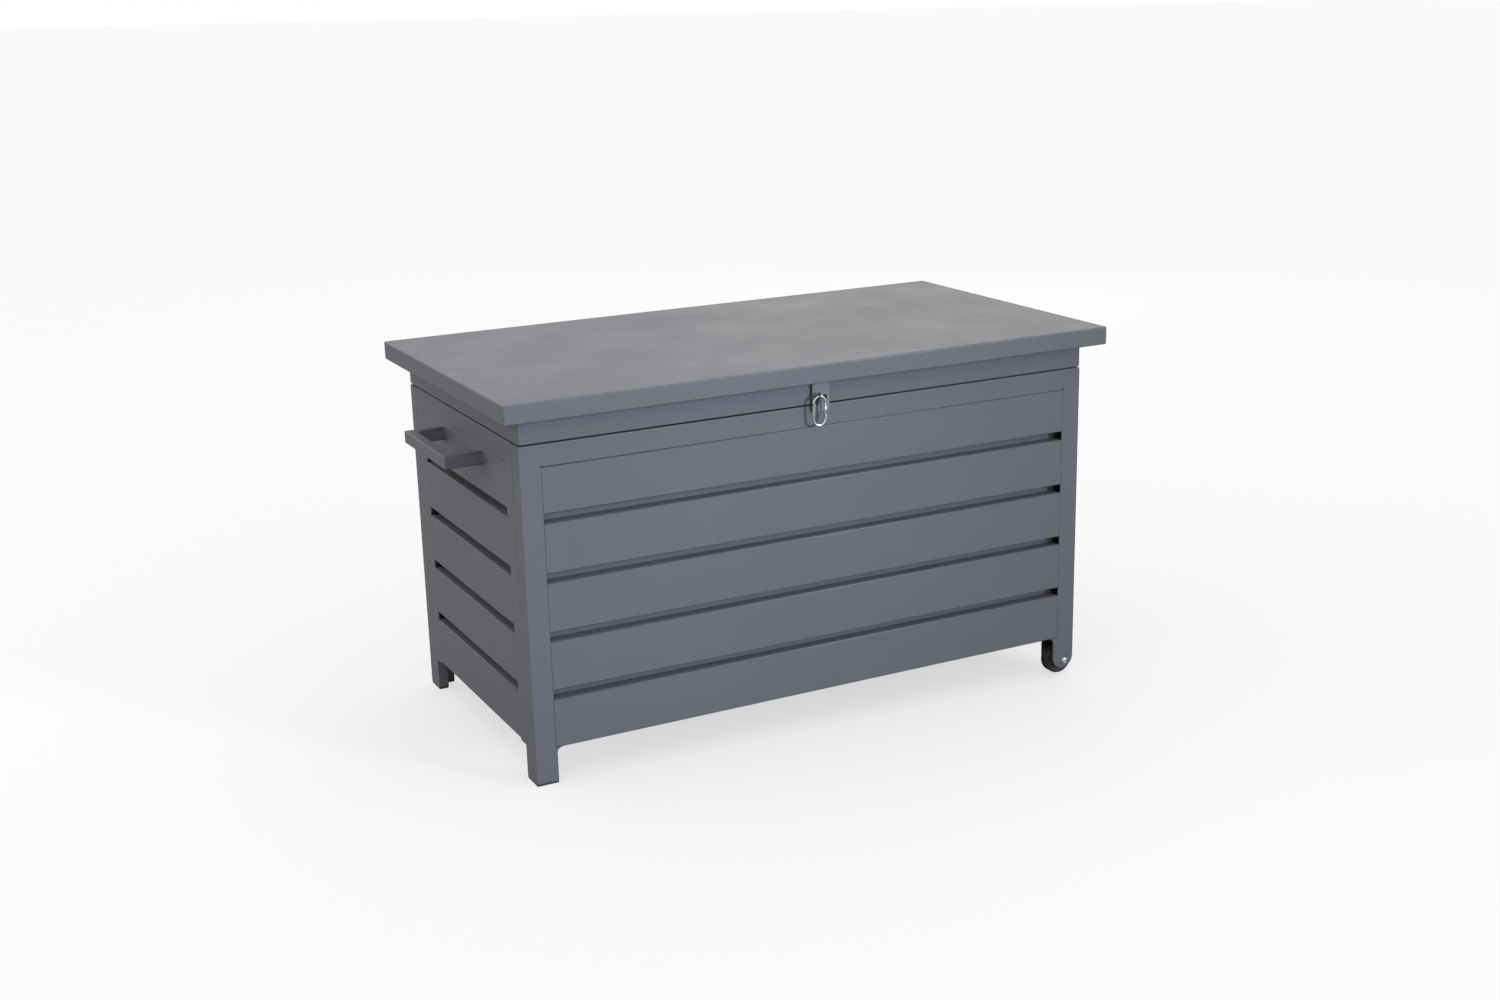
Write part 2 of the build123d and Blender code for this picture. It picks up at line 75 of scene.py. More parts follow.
floorLook = {"size": 60.0, "seen": (0.92, 0.92, 0.92), "bounced": (0.30, 0.30, 0.31), "roughness": 0.8,
             "sink": 0.0003, "paper": 0.62}  # paper: how much of the white seen is the floor's own glow


def makeFloor():
    # the ground touches the foot caps and the wheels, which reach a little lower than the caps
    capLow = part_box("foot_caps")[0]
    tyreLow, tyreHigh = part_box("front_tyre")
    wheelX = (tyreLow.x + tyreHigh.x) / 2
    slope = math.atan2(capLow.z - tyreLow.z, wheelX - capLow.x)
    bm = bmesh.new()
    bmesh.ops.create_grid(bm, x_segments=1, y_segments=1, size=floorLook["size"])
    bmesh.ops.rotate(bm, cent=(0, 0, 0), matrix=Matrix.Rotation(slope, 3, "Y"), verts=bm.verts)
    bmesh.ops.translate(bm, vec=(wheelX, 0, tyreLow.z - floorLook["sink"]), verts=bm.verts)
    mesh = bpy.data.meshes.new("paleFloor")
    bm.to_mesh(mesh)
    bm.free()
    floor = bpy.data.objects.new("paleFloor", mesh)
    bpy.context.scene.collection.objects.link(floor)
    material, tree, shader = newMaterial("paleFloor")
    shader.inputs["Roughness"].default_value = floorLook["roughness"]
    rays = tree.nodes.new("ShaderNodeLightPath")
    tone = addMix(tree, rays.outputs["Is Camera Ray"], floorLook["bounced"], floorLook["seen"])
    tree.links.new(tone, shader.inputs["Base Color"])
    share = tree.nodes.new("ShaderNodeMath")
    share.operation = "MULTIPLY"
    share.inputs[1].default_value = floorLook["paper"]
    tree.links.new(rays.outputs["Is Camera Ray"], share.inputs[0])
    paper = tree.nodes.new("ShaderNodeEmission")
    blend = tree.nodes.new("ShaderNodeMixShader")
    tree.links.new(share.outputs[0], blend.inputs[0])
    tree.links.new(shader.outputs[0], blend.inputs[1])
    tree.links.new(paper.outputs[0], blend.inputs[2])
    tree.links.new(blend.outputs[0], tree.nodes["Material Output"].inputs["Surface"])
    mesh.materials.append(material)


lamps = {
    "leftLamp": {"from": (-4.6, 1.2, 1.3), "aim": (-0.5, 0.0, 0.4), "size": 2.2, "power": 15,
                 "tint": (1, 0.84, 0.84)},
    "backLamp": {"from": (3.2, 4.2, 1.9), "aim": (0.3, 0.0, 0.7), "size": 2.4, "power": 7.5,
                 "tint": (1, 0.95, 0.85)},
}
frontSpot = {"aim": (-0.45, -0.3, 0.62), "turn": 36, "height": 11, "far": 8, "soft": 0.75, "cone": 20,
             "power": 1750, "tint": (0.67, 0.78, 1)}
studio = {"seen": (1.0, 1.0, 1.0, 1), "lit": (1.0, 1.0, 1.0, 1), "strength": 0.95}


def makeLights():
    for name, look in lamps.items():
        data = bpy.data.lights.new(name, "AREA")
        data.shape = "SQUARE"
        data.size = look["size"]
        data.energy = look["power"]
        data.color = look["tint"]
        lamp = bpy.data.objects.new(name, data)
        bpy.context.scene.collection.objects.link(lamp)
        away = Vector(look["aim"]) - Vector(look["from"])
        turn = away.to_track_quat("-Z", "Y").to_matrix().to_4x4()
        lamp.matrix_world = Matrix.Translation(look["from"]) @ turn
    data = bpy.data.lights.new("frontSpot", "SPOT")
    data.energy = frontSpot["power"]
    data.color = frontSpot["tint"]
    data.shadow_soft_size = frontSpot["soft"]
    data.spot_size = math.radians(frontSpot["cone"])
    data.spot_blend = 1.0  # the light thins out towards the lower right of the front
    lamp = bpy.data.objects.new("frontSpot", data)
    bpy.context.scene.collection.objects.link(lamp)
    turn, height = math.radians(frontSpot["turn"]), math.radians(frontSpot["height"])
    away = Vector((math.sin(turn) * math.cos(height), -math.cos(turn) * math.cos(height), math.sin(height)))
    place = Matrix.Translation(Vector(frontSpot["aim"]) + away * frontSpot["far"])
    lamp.matrix_world = place @ (-away).to_track_quat("-Z", "Y").to_matrix().to_4x4()
    world = bpy.data.worlds.new("studio")
    world.use_nodes = True
    tree = world.node_tree
    rays = tree.nodes.new("ShaderNodeLightPath")
    lit = tree.nodes["Background"]
    lit.inputs["Color"].default_value = studio["lit"]
    lit.inputs["Strength"].default_value = studio["strength"]
    seen = tree.nodes.new("ShaderNodeBackground")
    seen.inputs["Color"].default_value = studio["seen"]
    blend = tree.nodes.new("ShaderNodeMixShader")
    tree.links.new(rays.outputs["Is Camera Ray"], blend.inputs[0])
    tree.links.new(lit.outputs[0], blend.inputs[1])
    tree.links.new(seen.outputs[0], blend.inputs[2])
    tree.links.new(blend.outputs[0], tree.nodes["World Output"].inputs["Surface"])
    bpy.context.scene.world = world
    bpy.context.scene.view_settings.view_transform = "Standard"


# Materials

def newMaterial(name):
    material = bpy.data.materials.new(name)
    material.use_nodes = True
    tree = material.node_tree
    tree.nodes.clear()
    output = tree.nodes.new("ShaderNodeOutputMaterial")
    shader = tree.nodes.new("ShaderNodeBsdfPrincipled")
    tree.links.new(shader.outputs["BSDF"], output.inputs["Surface"])
    return material, tree, shader


def addNoise(tree, scale, detail=2.0, rough=0.5, stretch=None):
    # a noise on object coordinates; stretch squeezes it along the axes
    coords = tree.nodes.new("ShaderNodeTexCoord")
    noise = tree.nodes.new("ShaderNodeTexNoise")
    noise.inputs["Scale"].default_value = scale
    noise.inputs["Detail"].default_value = detail
    noise.inputs["Roughness"].default_value = rough
    source = coords.outputs["Object"]
    if stretch:
        mapping = tree.nodes.new("ShaderNodeMapping")
        mapping.inputs["Scale"].default_value = stretch
        tree.links.new(source, mapping.inputs["Vector"])
        source = mapping.outputs["Vector"]
    tree.links.new(source, noise.inputs["Vector"])
    return noise.outputs["Fac"]


def addRange(tree, source, low, high):
    # spreads the middle of a noise between two values
    spread = tree.nodes.new("ShaderNodeMapRange")
    spread.inputs["From Min"].default_value = 0.3
    spread.inputs["From Max"].default_value = 0.7
    spread.inputs["To Min"].default_value = low
    spread.inputs["To Max"].default_value = high
    tree.links.new(source, spread.inputs["Value"])
    return spread.outputs["Result"]


def addMix(tree, factor, colourA, colourB):
    mix = tree.nodes.new("ShaderNodeMix")
    mix.data_type = "RGBA"
    tree.links.new(factor, mix.inputs[0])
    for socket, colour in ((mix.inputs[6], colourA), (mix.inputs[7], colourB)):
        if isinstance(colour, tuple):
            socket.default_value = (*colour, 1)
        else:
            tree.links.new(colour, socket)
    return mix.outputs[2]


def addBump(tree, height, strength, distance, under=None):
    bump = tree.nodes.new("ShaderNodeBump")
    bump.inputs["Strength"].default_value = strength
    bump.inputs["Distance"].default_value = distance
    tree.links.new(height, bump.inputs["Height"])
    if under:
        tree.links.new(under, bump.inputs["Normal"])
    return bump.outputs["Normal"]


def coat(name, dark, light, fleck, glossy):
    # satin powder coat: slow drift of tone and gloss, a fine fleck, faint orange peel
    material, tree, shader = newMaterial(name)
    drift = addRange(tree, addNoise(tree, 2.6, 3.0), 0.0, 1.0)
    speckle = addRange(tree, addNoise(tree, 1100.0, 2.0), 0.0, 0.5)
    base = addMix(tree, drift, dark, light)
    tree.links.new(addMix(tree, speckle, base, fleck), shader.inputs["Base Color"])
    gloss = addRange(tree, addNoise(tree, 7.0, 5.0, 0.6), *glossy)
    tree.links.new(gloss, shader.inputs["Roughness"])
    wave = addBump(tree, addNoise(tree, 9.0, 2.0), 0.05, 0.004)  # thin sheet is never quite flat
    peel = addBump(tree, addNoise(tree, 480.0, 2.0), 0.16, 0.0004, wave)
    grain = addBump(tree, addNoise(tree, 2400.0, 1.0), 0.12, 0.0001, peel)
    tree.links.new(grain, shader.inputs["Normal"])
    return material


def roughPlain(name, dark, light, blotch, rough, pits, depth):
    # plastics and rubbers: mottled tone over a fine moulded grain
    material, tree, shader = newMaterial(name)
    tree.links.new(addMix(tree, addRange(tree, addNoise(tree, blotch, 4.0, 0.6), 0.0, 1.0), dark, light),
                   shader.inputs["Base Color"])
    tree.links.new(addRange(tree, addNoise(tree, blotch / 3, 3.0), *rough), shader.inputs["Roughness"])
    tree.links.new(addBump(tree, addNoise(tree, pits, 3.0), depth, 0.0003), shader.inputs["Normal"])
    return material


def metal(name, dark, light, rough, stretch):
    # polished or mill metal with a grain drawn out along one direction
    material, tree, shader = newMaterial(name)
    shader.inputs["Metallic"].default_value = 1.0
    tone = addRange(tree, addNoise(tree, 90.0, 4.0), 0.0, 1.0)
    tree.links.new(addMix(tree, tone, dark, light), shader.inputs["Base Color"])
    gloss = addRange(tree, addNoise(tree, 60.0, 5.0, 0.6, stretch), *rough)
    tree.links.new(gloss, shader.inputs["Roughness"])
    scratch = addBump(tree, addNoise(tree, 400.0, 3.0, 0.5, stretch), 0.06, 0.0001)
    tree.links.new(scratch, shader.inputs["Normal"])
    return material


finishes = {
    "powderCoat": coat("powderCoat", (0.128, 0.131, 0.146), (0.136, 0.139, 0.154), (0.15, 0.153, 0.168),
                       (0.40, 0.50)),
    # a lighter copy of the powder coat for the hasp strap: painted light, standing in for the strap catching
    # more light and sheen than the skirt
    "strapPaintedLightCoat": coat("strapPaintedLightCoat", (0.20, 0.204, 0.22), (0.21, 0.214, 0.23), (0.22, 0.224, 0.24),
                      (0.34, 0.44)),
    # near-black plastic for the hubs; also put on the powder-coated wheel brackets as painted shade
    "blackPlasticAndPaintedShade": roughPlain("blackPlasticAndPaintedShade", (0.012, 0.012, 0.013), (0.026, 0.026, 0.028), 240, (0.45, 0.6),
                               1600, 0.25),
    "capPlastic": roughPlain("capPlastic", (0.030, 0.031, 0.036), (0.045, 0.046, 0.052), 240, (0.45, 0.6),
                             1600, 0.2),
    "wheelRubber": roughPlain("wheelRubber", (0.022, 0.022, 0.025), (0.040, 0.040, 0.043), 140, (0.38, 0.55),
                              900, 0.25),
    "softRubber": roughPlain("softRubber", (0.014, 0.014, 0.015), (0.028, 0.028, 0.03), 300, (0.7, 0.85),
                             1500, 0.3),
    "steel": metal("steel", (0.66, 0.65, 0.63), (0.84, 0.83, 0.81), (0.18, 0.32), (1.0, 1.0, 6.0)),
    "aluminium": metal("aluminium", (0.45, 0.46, 0.47), (0.56, 0.57, 0.58), (0.34, 0.5), (1.0, 12.0, 12.0)),
    "strutBlack": roughPlain("strutBlack", (0.012, 0.012, 0.013), (0.020, 0.020, 0.022), 120, (0.28, 0.4),
                             900, 0.08),
}
finishOfSlot = {"powder_coat": "powderCoat", "black_plastic": "blackPlasticAndPaintedShade", "rubber": "softRubber",
                "wheel_rubber": "wheelRubber", "bright_steel": "steel", "strut_black": "strutBlack",
                "plain_aluminium": "aluminium"}
slotOf = {part["node"]: part["material_slot"] for part in frame["record"]["subparts"]}
print("materials made")


def paintCadNodes():
    for name, node in frame["nodes"].items():
        node.data.materials.clear()
        node.data.materials.append(finishes[finishOfSlot[slotOf[name]]])


# Shapes. Lengths are in metres, and mm() turns millimetres into metres.

def mm(value):
    return value / 1000


def cubeMesh(low, high):
    bm = bmesh.new()
    bmesh.ops.create_cube(bm, size=1)
    bmesh.ops.scale(bm, vec=Vector(high) - Vector(low), verts=bm.verts)
    bmesh.ops.translate(bm, vec=(Vector(low) + Vector(high)) / 2, verts=bm.verts)
    return bm


def outlineMesh(points, height):
    # a flat outline pushed straight up
    bm = bmesh.new()
    face = bm.faces.new([bm.verts.new(point) for point in points])
    grown = bmesh.ops.extrude_face_region(bm, geom=[face])
    top = [item for item in grown["geom"] if isinstance(item, bmesh.types.BMVert)]
    bmesh.ops.translate(bm, vec=(0, 0, height), verts=top)
    bmesh.ops.recalc_face_normals(bm, faces=bm.faces)
    return bm


def turnedMesh(profile, place, axis, steps):
    # turns a profile of (radius, along) points about an axis through place
    bm = bmesh.new()
    verts = [bm.verts.new((radius, 0, along)) for radius, along in profile]
    edges = [bm.edges.new(pair) for pair in zip(verts, verts[1:])]
    bmesh.ops.spin(bm, geom=verts + edges, cent=(0, 0, 0), axis=(0, 0, 1), dvec=(0, 0, 0),
                   angle=math.radians(360), steps=steps, use_merge=True)
    bmesh.ops.remove_doubles(bm, verts=bm.verts, dist=0.00001)
    bmesh.ops.recalc_face_normals(bm, faces=bm.faces)
    for face in bm.faces:
        face.smooth = True
    place = Matrix.Translation(place) @ Vector(axis).to_track_quat("Z", "Y").to_matrix().to_4x4()
    bmesh.ops.transform(bm, matrix=place, verts=bm.verts)
    return bm


def roundEdges(bm, edges, width, segments=4):
    made = bmesh.ops.bevel(bm, geom=list(edges), offset=width, offset_type="OFFSET", affect="EDGES",
                           segments=segments, profile=0.5, material=-1, clamp_overlap=True)
    for face in made["faces"]:
        face.smooth = True


def facing(bm, direction, least=0.9):
    bm.normal_update()
    direction = Vector(direction)
    return [face for face in bm.faces if face.normal.dot(direction) > least]


def removeFaces(bm, faces):
    bmesh.ops.delete(bm, geom=faces, context="FACES")


def sharpEdges(bm, least=50):
    bm.normal_update()
    return [edge for edge in bm.edges if edge.is_manifold and edge.is_convex
            and edge.calc_face_angle() > math.radians(least)]


def giveWall(bm, thickness):
    bmesh.ops.recalc_face_normals(bm, faces=bm.faces)
    bmesh.ops.solidify(bm, geom=bm.faces[:], thickness=thickness)


def join(meshes):
    # several bmeshes in one
    whole = bmesh.new()
    for bm in meshes:
        mesh = bpy.data.meshes.new("part")
        bm.to_mesh(mesh)
        bm.free()
        whole.from_mesh(mesh)
        bpy.data.meshes.remove(mesh)
    return whole


def mirrored(bm, axis):
    copy = bm.copy()
    bmesh.ops.scale(copy, vec=[-1 if name == axis else 1 for name in "XYZ"], verts=copy.verts)
    bmesh.ops.reverse_faces(copy, faces=copy.faces)
    return copy


def addPiece(name, bm, body, nodes=(), slot="powder_coat", finish=None):
    bmesh.ops.remove_doubles(bm, verts=bm.verts, dist=0.000004)
    mesh = bpy.data.meshes.new(name)
    bm.to_mesh(mesh)
    bm.free()
    mesh.materials.append(finishes[finish or finishOfSlot[slot]])
    piece = bpy.data.objects.new(name, mesh)
    bpy.context.scene.collection.objects.link(piece)
    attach(piece, body)
    if nodes:
        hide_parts(*nodes)


def cadCopy(node):
    # a clean copy of a node's mesh: merged, with its flat faces whole
    bm = bmesh.new()
    bm.from_mesh(frame["nodes"][node].data)
    bmesh.ops.remove_doubles(bm, verts=bm.verts, dist=0.000002)
    bmesh.ops.dissolve_limit(bm, angle_limit=math.radians(0.5), verts=bm.verts, edges=bm.edges)
    for face in bm.faces:
        face.smooth = False
    return bm


# Frames and posts

frameLook = {"edge": mm(1.3), "seam": mm(0.9)}


def makeFrames():
    # folded sheet frames: the outer edges are softened by the coat
    for name, axis, sign in (("front_frame", "y", -1), ("back_frame", "y", 1),
                             ("left_frame", "x", -1), ("right_frame", "x", 1)):
        low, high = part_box(name)
        face = getattr(low, axis) if sign < 0 else getattr(high, axis)
        bm = cadCopy(name)
        outer = [edge for edge in sharpEdges(bm)
                 if all(abs(getattr(vert.co, axis) - face) < mm(0.1) for vert in edge.verts)]
        roundEdges(bm, outer, frameLook["edge"], 3)
        addPiece(name.split("_")[0] + "FramePiece", bm, "box", [name])
    for side in ("front", "back"):
        for end in ("left", "right"):
            name = f"{side}_{end}_post"
            low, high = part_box(name)
            faceX = low.x if end == "left" else high.x
            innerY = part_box(f"{end}_frame")[0].y if side == "front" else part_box(f"{end}_frame")[1].y
            bm = cadCopy(name)
            seam = [edge for edge in sharpEdges(bm)
                    if all(abs(vert.co.x - faceX) < mm(0.1) and abs(vert.co.y - innerY) < mm(2)
                           for vert in edge.verts)]
            roundEdges(bm, seam, frameLook["seam"], 3)
            addPiece(f"{side}{end.title()}Post", bm, "box", [name])


# Slats

slatLook = {"wall": mm(2), "edge": mm(2.2), "reach": mm(1.4)}


def makeSlats():
    alongX, alongY = Vector((1, 0, 0)), Vector((0, 1, 0))
    sides = {"front": (alongX, alongY), "back": (alongX, -alongY), "left": (alongY, alongX),
             "right": (alongY, -alongX)}
    for side, (ends, inward) in sides.items():
        for number in range(1, 6):
            node = f"{side}_slat_{number}"
            low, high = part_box(node)
            reach = ends * slatLook["reach"]  # a hairline is left at the stiles
            bm = cubeMesh(low - reach, high + reach)
            removeFaces(bm, facing(bm, inward) + facing(bm, ends) + facing(bm, -ends))
            roundEdges(bm, sharpEdges(bm), slatLook["edge"], 5)
            giveWall(bm, slatLook["wall"])
            addPiece(f"{side}Slat{number}", bm, "box", [node])


# Lid

lidLook = {"edge": mm(2.6), "wall": mm(2), "crown": mm(0.7), "lip": mm(3), "border": mm(2),
           "skirtEdge": mm(2.5), "rim": mm(1), "flange": mm(18), "cutsAlong": 11, "cutsAcross": 7}


def makeLid():
    low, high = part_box("lid_tray")
    high.z -= lidLook["crown"]  # the sheet rises by its crown, up to the full height
    skirtLow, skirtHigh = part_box("lid_skirt")
    bm = cubeMesh(low, high)
    roundEdges(bm, bm.edges[:], lidLook["edge"])
    bottom = max(facing(bm, -upward, 0.999), key=lambda face: face.calc_area())
    margin = skirtLow.x - low.x - lidLook["edge"] + lidLook["lip"]
    bmesh.ops.inset_region(bm, faces=[bottom], thickness=margin, use_even_offset=True)
    removeFaces(bm, [max(facing(bm, -upward, 0.999), key=lambda face: face.calc_area())])
    top = max(facing(bm, upward, 0.999), key=lambda face: face.calc_area())
    bmesh.ops.inset_region(bm, faces=[top], thickness=lidLook["border"], use_even_offset=True)
    top = max(facing(bm, upward, 0.999), key=lambda face: face.calc_area())
    panel = [top] + list(top.edges) + list(top.verts)
    size = high - low
    for axis, cuts in ((0, lidLook["cutsAlong"]), (1, lidLook["cutsAcross"])):
        for step in range(1, cuts + 1):
            middle = (low + high) / 2
            middle[axis] = low[axis] + size[axis] * step / (cuts + 1)
            normal = Vector((axis == 0, axis == 1, 0))
            cut = bmesh.ops.bisect_plane(bm, geom=panel, plane_co=middle, plane_no=normal, dist=1e-6)
            panel = list(set(cut["geom"]) | set(cut["geom_cut"]))
    for item in panel:
        if isinstance(item, bmesh.types.BMVert):
            away = item.co - (low + high) / 2
            rise = (1 - (2 * away.x / size.x) ** 2) * (1 - (2 * away.y / size.y) ** 2)
            item.co.z += lidLook["crown"] * rise
        if isinstance(item, bmesh.types.BMFace):
            item.smooth = True
    giveWall(bm, lidLook["wall"])
    addPiece("lidTray", bm, "lid", ["lid_tray"])

    bm = cubeMesh(skirtLow, skirtHigh)
    removeFaces(bm, facing(bm, upward))
    upright = [edge for edge in sharpEdges(bm) if abs((edge.verts[0].co - edge.verts[1].co).z) > mm(5)]
    roundEdges(bm, upright, lidLook["skirtEdge"])
    bottom = max(facing(bm, -upward), key=lambda face: face.calc_area())
    roundEdges(bm, list(bottom.edges), lidLook["rim"], 3)
    bottom = max(facing(bm, -upward, 0.999), key=lambda face: face.calc_area())
    bmesh.ops.inset_region(bm, faces=[bottom], thickness=lidLook["flange"], use_even_offset=True)
    removeFaces(bm, [max(facing(bm, -upward, 0.999), key=lambda face: face.calc_area())])
    giveWall(bm, lidLook["wall"])
    addPiece("lidSkirt", bm, "lid", ["lid_skirt"])


# Handles

handleLook = {"tube": mm(20), "edge": mm(2.2), "bead": mm(1.4)}


def makeHandles():
    low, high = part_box("left_handle")
    wall, reach = high.x, low.x
    tube = handleLook["tube"]
    points = [(wall, low.y, low.z), (reach, low.y, low.z), (reach, high.y, low.z), (wall, high.y, low.z),
              (wall, high.y - tube, low.z), (reach + tube, high.y - tube, low.z),
              (reach + tube, low.y + tube, low.z), (wall, low.y + tube, low.z)]
    bar = outlineMesh(points, high.z - low.z)
    softened = [edge for edge in bar.edges if min(vert.co.x for vert in edge.verts) < wall - mm(1)]
    roundEdges(bar, softened, handleLook["edge"])
    parts = [bar]
    bead = handleLook["bead"]
    for start in (low.y, high.y - tube):
        weld = cubeMesh((wall - bead, start - bead, low.z - bead), (wall, start + tube + bead, high.z + bead))
        front = facing(weld, (-1, 0, 0))
        roundEdges(weld, list(front[0].edges), bead * 0.95, 3)
        parts.append(weld)
    bm = join(parts)
    addPiece("rightHandle", mirrored(bm, "X"), "box", ["right_handle"])
    addPiece("leftHandle", bm, "box", ["left_handle"])


# Hasp and carabiner

haspLook = {"strapEdge": mm(0.5), "eyeEdge": mm(0.35)}


def makeHasp():
    bm = cadCopy("hasp_strap")
    roundEdges(bm, sharpEdges(bm), haspLook["strapEdge"], 2)
    # the strap takes the lighter coat copy: painted light on the same powder coat
    addPiece("haspStrap", bm, "lid", ["hasp_strap"], finish="strapPaintedLightCoat")
    bm = cadCopy("hasp_staple")
    roundEdges(bm, sharpEdges(bm), haspLook["eyeEdge"], 2)
    addPiece("haspStaple", bm, "box", ["hasp_staple"])


carabinerLook = {"wire": mm(2.3), "gate": mm(2.0), "gap": mm(0.8), "pivotRise": mm(2.4), "lugHalf": mm(1.9),
                 "lugOut": mm(2.6), "lugSheet": mm(0.35), "lugRound": mm(1.4), "pinOut": mm(2.4)}


def makeCarabiner():
    low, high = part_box("carabiner_hook")
    gateLow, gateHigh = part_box("carabiner_gate")
    wire = carabinerLook["wire"]
    middle = (low + high) / 2
    bend = (high.x - low.x) / 2 - wire
    topCentre = Vector((middle.x, middle.y, high.z - wire - bend))
    lowCentre = Vector((middle.x, middle.y, low.z + wire + bend))
    bm = bmesh.new()
    start = Matrix.Translation((middle.x + bend, middle.y, topCentre.z))
    made = bmesh.ops.create_circle(bm, cap_ends=False, segments=24, radius=wire, matrix=start)
    nose = list({edge for vert in made["verts"] for edge in vert.link_edges})
    turn = {"axis": (0, 1, 0), "dvec": (0, 0, 0), "angle": math.radians(-180), "steps": 32,
            "use_merge": False}
    ring = bmesh.ops.spin(bm, geom=nose, cent=topCentre, **turn)["geom_last"]
    stub = gateLow.z - carabinerLook["gap"] - lowCentre.z  # the wire stops just under the gate
    for drop, centre in ((lowCentre.z - topCentre.z, lowCentre), (stub, None)):
        edges = [item for item in ring if isinstance(item, bmesh.types.BMEdge)]
        ring = bmesh.ops.extrude_edge_only(bm, edges=edges)["geom"]
        verts = [item for item in ring if isinstance(item, bmesh.types.BMVert)]
        bmesh.ops.translate(bm, vec=(0, 0, drop), verts=verts)
        if centre:
            edges = [item for item in ring if isinstance(item, bmesh.types.BMEdge)]
            ring = bmesh.ops.spin(bm, geom=edges, cent=centre, **turn)["geom_last"]
    tail = [item for item in ring if isinstance(item, bmesh.types.BMEdge)]
    for edges, step in ((nose, -1), (tail, 1)):
        for shrink, move in ((0.86, 0.25), (0.6, 0.15), (0.05, 0.02)):  # the wire's ends are rounded off
            cap = bmesh.ops.extrude_edge_only(bm, edges=edges)["geom"]
            verts = [item for item in cap if isinstance(item, bmesh.types.BMVert)]
            edges = [item for item in cap if isinstance(item, bmesh.types.BMEdge)]
            centre = sum((vert.co for vert in verts), Vector()) / len(verts)
            bmesh.ops.scale(bm, vec=(shrink, shrink, 1), space=Matrix.Translation(-centre), verts=verts)
            bmesh.ops.translate(bm, vec=(0, 0, step * wire * move), verts=verts)
    bmesh.ops.recalc_face_normals(bm, faces=bm.faces)
    for face in bm.faces:
        face.smooth = True
    lugX = middle.x + bend
    pivotZ = gateLow.z + carabinerLook["pivotRise"]
    wide, thin = carabinerLook["lugHalf"], carabinerLook["lugSheet"]
    pieces = [bm]
    for side in (-1, 1):
        y = middle.y + side * carabinerLook["lugOut"]
        lug = cubeMesh((lugX - wide, y - thin, lowCentre.z), (lugX + wide, y + thin, pivotZ + wide))
        across = [edge for edge in lug.edges if abs((edge.verts[0].co - edge.verts[1].co).y) > mm(0.5)]
        roundEdges(lug, across, carabinerLook["lugRound"], 4)
        pieces.append(lug)
        head = [(0, mm(1.1)), (mm(0.8), mm(0.95)), (mm(1.15), mm(0.5)), (mm(1.2), 0)]
        place = (lugX, middle.y + side * carabinerLook["pinOut"], pivotZ)
        pieces.append(turnedMesh(head, place, (0, side, 0), 20))
    addPiece("carabinerHook", join(pieces), "carabiner", ["carabiner_hook"], "bright_steel")
    radius = carabinerLook["gate"]
    length = gateHigh.z - gateLow.z
    profile = [(0, 0), (radius * 0.7, 0), (radius, mm(0.5)), (radius, length - mm(4.2)),
               (radius * 0.72, length - mm(3.8)), (radius * 0.72, length - mm(2.6)),
               (radius, length - mm(2.2)),
               (radius, length - mm(0.5)), (radius * 0.7, length), (0, length)]
    gate = turnedMesh(profile, (lugX, middle.y, gateLow.z), upward, 24)
    addPiece("carabinerGate", gate, "gate", ["carabiner_gate"], "bright_steel")


# Wheels

wheelLook = {"shoulder": mm(4), "groove": mm(0.7), "steps": 96, "spokes": 6}


def makeWheels():
    for side in ("front", "back"):
        low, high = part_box(f"{side}_tyre")
        centre = (low + high) / 2
        radius = (high.x - low.x) / 2
        half = (high.y - low.y) / 2
        hubLow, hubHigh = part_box(f"{side}_hub")
        bore = (hubHigh.x - hubLow.x) / 2
        shoulder = wheelLook["shoulder"]
        groove = wheelLook["groove"]
        bend = []
        for step in range(9):
            turn = math.radians(step * 90 / 8)
            bend.append((radius - shoulder + shoulder * math.sin(turn),
                         half - shoulder + shoulder * math.cos(turn)))
        wall = [(bore, half - mm(0.6)), (bore + mm(0.6), half), (bore + mm(3.4), half),
                (bore + mm(3.9), half - groove), (bore + mm(4.6), half - groove), (bore + mm(5.1), half)]
        flat = half - shoulder
        tread = [(radius, flat * 0.86), (radius - groove, flat * 0.80), (radius - groove, flat * 0.62),
                 (radius, flat * 0.56), (radius, flat * 0.1)]
        outer = wall + bend + tread
        profile = outer + [(r, -y) for r, y in reversed(outer)]
        profile.append(profile[0])
        addPiece(f"{side}Tyre", turnedMesh(profile, centre, (0, 1, 0), wheelLook["steps"]),
                 f"{side}_wheel", [f"{side}_tyre"], "wheel_rubber")
        # the hub's section: boss, thin web and the seat of the tyre
        web = [(mm(4.1), half), (mm(7.2), half), (mm(8), half - mm(0.8)), (mm(8.4), mm(4.4)), (mm(9.2), mm(4)),
               (bore - mm(3.6), mm(4)), (bore - mm(3), mm(4.6)), (bore - mm(2.6), half - mm(1.8)),
               (bore - mm(1.8), half - mm(1)), (bore, half - mm(1))]
        profile = web + [(r, -y) for r, y in reversed(web)]
        profile.append(profile[0])
        parts = [turnedMesh(profile, centre, (0, 1, 0), 64)]
        for spoke in range(wheelLook["spokes"]):
            rib = cubeMesh((mm(7.6), -mm(1.1), -half + mm(3)), (bore - mm(2.4), mm(1.1), half - mm(3)))
            roundEdges(rib, rib.edges[:], mm(0.5), 2)
            turn = Matrix.Rotation(math.radians(spoke * 360 / wheelLook["spokes"]), 4, "Z")
            lay = Matrix.Translation(centre) @ Matrix.Rotation(math.radians(90), 4, "X")
            bmesh.ops.transform(rib, matrix=lay @ turn, verts=rib.verts)
            parts.append(rib)
        addPiece(f"{side}Hub", join(parts), f"{side}_wheel", [f"{side}_hub"], "black_plastic")


boltLook = {"head": mm(7.1), "rise": mm(4.2), "rim": mm(0.7), "socket": mm(2.9), "depth": mm(2.4),
            "shank": mm(4), "length": mm(50), "tip": mm(3.4), "nut": mm(7.5), "nutFrom": mm(41.3),
            "nutThick": mm(7)}


